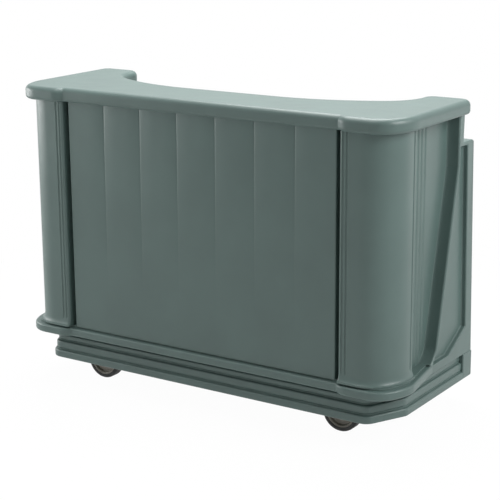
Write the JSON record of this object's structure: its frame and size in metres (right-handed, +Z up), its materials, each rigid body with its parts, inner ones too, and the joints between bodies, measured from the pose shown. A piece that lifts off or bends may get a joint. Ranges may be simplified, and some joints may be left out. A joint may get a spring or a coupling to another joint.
{
  "type": "mobile bar unit",
  "caption": "Moulded portable bar on casters: U-shaped bullnose counter, boarded front between rounded columns, stepped plinth, rear work deck with ice bin, speed rail and storage.",
  "frame": {"origin": "on the floor, under the centre of the unit's outline", "axes": "+X along the bar to the right as guests see it, -Y towards the guests, +Z up"},
  "size_m": [1.712, 0.74, 1.219],
  "materials": {
    "body": "semi-matte moulded",
    "inside": "matte moulded",
    "liner": "smooth",
    "foam": "foamed",
    "steel": "brushed",
    "zinc": "zinc plated",
    "tyre": "matte",
    "hub": "moulded",
    "brass": "machined",
    "red": "moulded"
  },
  "bodies": {
    "bar_body": {"bar_top": "body", "front_panel": "body", "left_column": "body", "right_column": "body", "left_side_panel": "body", "right_side_panel": "body", "left_end_panel": "body", "right_end_panel": "body", "base_moulding": "body", "plinth": "body", "rear_sill": "body", "base_frame": "zinc", "base_deck": "inside", "back_wall": "inside", "left_inner_wall": "inside", "right_inner_wall": "inside", "divider": "inside", "shelf": "inside", "shelf_cleats": "inside", "deck_front": "inside", "deck_left": "inside", "deck_middle": "inside", "deck_right": "inside", "deck_rear": "inside", "ice_bin_liner": "liner", "ice_bin_jacket": "foam", "drain_fitting": "steel", "drain_valve": "brass", "caster_bolts": "zinc", "front_left_bracket": "zinc", "front_left_axle": "zinc", "rear_left_bracket": "zinc", "rear_left_axle": "zinc", "front_right_plate": "zinc", "rear_right_plate": "zinc"},
    "front_left_wheel": {"front_left_hub": "hub", "front_left_tyre": "tyre"},
    "rear_left_wheel": {"rear_left_hub": "hub", "rear_left_tyre": "tyre"},
    "front_right_swivel": {"front_right_fork": "zinc", "front_right_axle": "zinc"},
    "front_right_wheel": {"front_right_hub": "hub", "front_right_tyre": "tyre"},
    "front_right_pedal": {"front_right_brake": "red"},
    "rear_right_swivel": {"rear_right_fork": "zinc", "rear_right_axle": "zinc"},
    "rear_right_wheel": {"rear_right_hub": "hub", "rear_right_tyre": "tyre"},
    "rear_right_pedal": {"rear_right_brake": "red"},
    "lid": {"ice_bin_lid": "body", "lid_handle": "body"},
    "bottle_tub": {"bottle_insert": "inside"},
    "rail": {"speed_rail": "steel"},
    "lever": {"valve_lever": "red"}
  },
  "joints": [
    {"name": "front_left_spin", "type": "hinge", "parent": "bar_body", "child": "front_left_wheel", "pos_m": [-0.58, -0.174, 0.076], "axis": [0, 1, 0], "continuous": true},
    {"name": "rear_left_spin", "type": "hinge", "parent": "bar_body", "child": "rear_left_wheel", "pos_m": [-0.58, 0.22, 0.076], "axis": [0, 1, 0], "continuous": true},
    {"name": "front_right_turn", "type": "hinge", "parent": "bar_body", "child": "front_right_swivel", "pos_m": [0.58, -0.174, 0.194], "axis": [0, 0, 1], "continuous": true},
    {"name": "front_right_spin", "type": "hinge", "parent": "front_right_swivel", "child": "front_right_wheel", "pos_m": [0.544, -0.174, 0.076], "axis": [0, 1, 0], "continuous": true},
    {"name": "front_right_press", "type": "hinge", "parent": "front_right_swivel", "child": "front_right_pedal", "pos_m": [0.554, -0.174, 0.157], "axis": [0, -1, 0], "range_deg": [0, 8]},
    {"name": "rear_right_turn", "type": "hinge", "parent": "bar_body", "child": "rear_right_swivel", "pos_m": [0.58, 0.22, 0.194], "axis": [0, 0, 1], "continuous": true},
    {"name": "rear_right_spin", "type": "hinge", "parent": "rear_right_swivel", "child": "rear_right_wheel", "pos_m": [0.544, 0.22, 0.076], "axis": [0, 1, 0], "continuous": true},
    {"name": "rear_right_press", "type": "hinge", "parent": "rear_right_swivel", "child": "rear_right_pedal", "pos_m": [0.554, 0.22, 0.157], "axis": [0, -1, 0], "range_deg": [0, 8]},
    {"name": "lid_lift", "type": "slide", "parent": "bar_body", "child": "lid", "axis": [0, 0, 1], "range_m": [0, 0.2]},
    {"name": "tub_lift", "type": "slide", "parent": "bar_body", "child": "bottle_tub", "axis": [0, 0, 1], "range_m": [0, 0.2]},
    {"name": "rail_lift", "type": "slide", "parent": "bar_body", "child": "rail", "axis": [0, 0, 1], "range_m": [0, 0.15]},
    {"name": "lever_turn", "type": "hinge", "parent": "bar_body", "child": "lever", "pos_m": [0.398, 0.094, 0.48], "axis": [0, 1, 0], "range_deg": [0, 90]}
  ]
}
